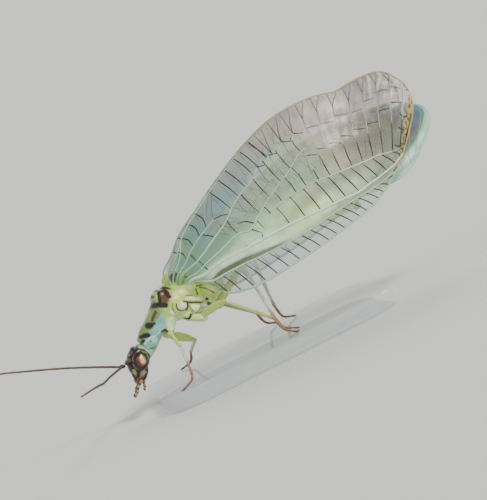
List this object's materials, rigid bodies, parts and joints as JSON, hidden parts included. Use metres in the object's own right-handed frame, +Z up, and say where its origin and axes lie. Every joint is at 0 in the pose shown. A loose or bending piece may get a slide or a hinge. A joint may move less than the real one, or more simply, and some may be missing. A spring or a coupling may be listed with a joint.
{
  "type": "green lacewing model on a clear plate",
  "caption": "Life-size still model of a green lacewing standing with roof-folded veined wings, long antennae and bent legs, on a thin clear display plate.",
  "frame": {"origin": "centre of the bounding box at its lowest face, which is the underside of the display plate", "axes": "+Z up, the insect's head points along -X and its left side faces -Y"},
  "size_m": [0.0276, 0.014, 0.0101],
  "materials": {
    "green_cuticle": "satin yellow-green cuticle",
    "blue_green_cuticle": "satin bluish green cuticle",
    "dark_head": "satin cuticle with black stripes over pale green and pink",
    "copper_eye": "glossy coppery eye",
    "antenna": "dull dark brown",
    "wing": "clear iridescent membrane with pale green and black veins",
    "leg": "satin pale green with brown feet",
    "clear_plate": "polished clear plastic"
  },
  "bodies": {
    "root": {"head": "dark_head", "eye_left": "copper_eye", "eye_right": "copper_eye", "antenna_left": "antenna", "antenna_right": "antenna", "prothorax": "blue_green_cuticle", "thorax": "green_cuticle", "abdomen": "green_cuticle", "forewing_left": "wing", "forewing_right": "wing", "hindwing_left": "wing", "hindwing_right": "wing", "leg_fore_left_upper": "leg", "leg_fore_left_lower": "leg", "leg_fore_right_upper": "leg", "leg_fore_right_lower": "leg", "leg_mid_left_upper": "leg", "leg_mid_left_lower": "leg", "leg_mid_right_upper": "leg", "leg_mid_right_lower": "leg", "leg_hind_left_upper": "leg", "leg_hind_left_lower": "leg", "leg_hind_right_upper": "leg", "leg_hind_right_lower": "leg", "stand_base": "clear_plate"}
  },
  "joints": []
}
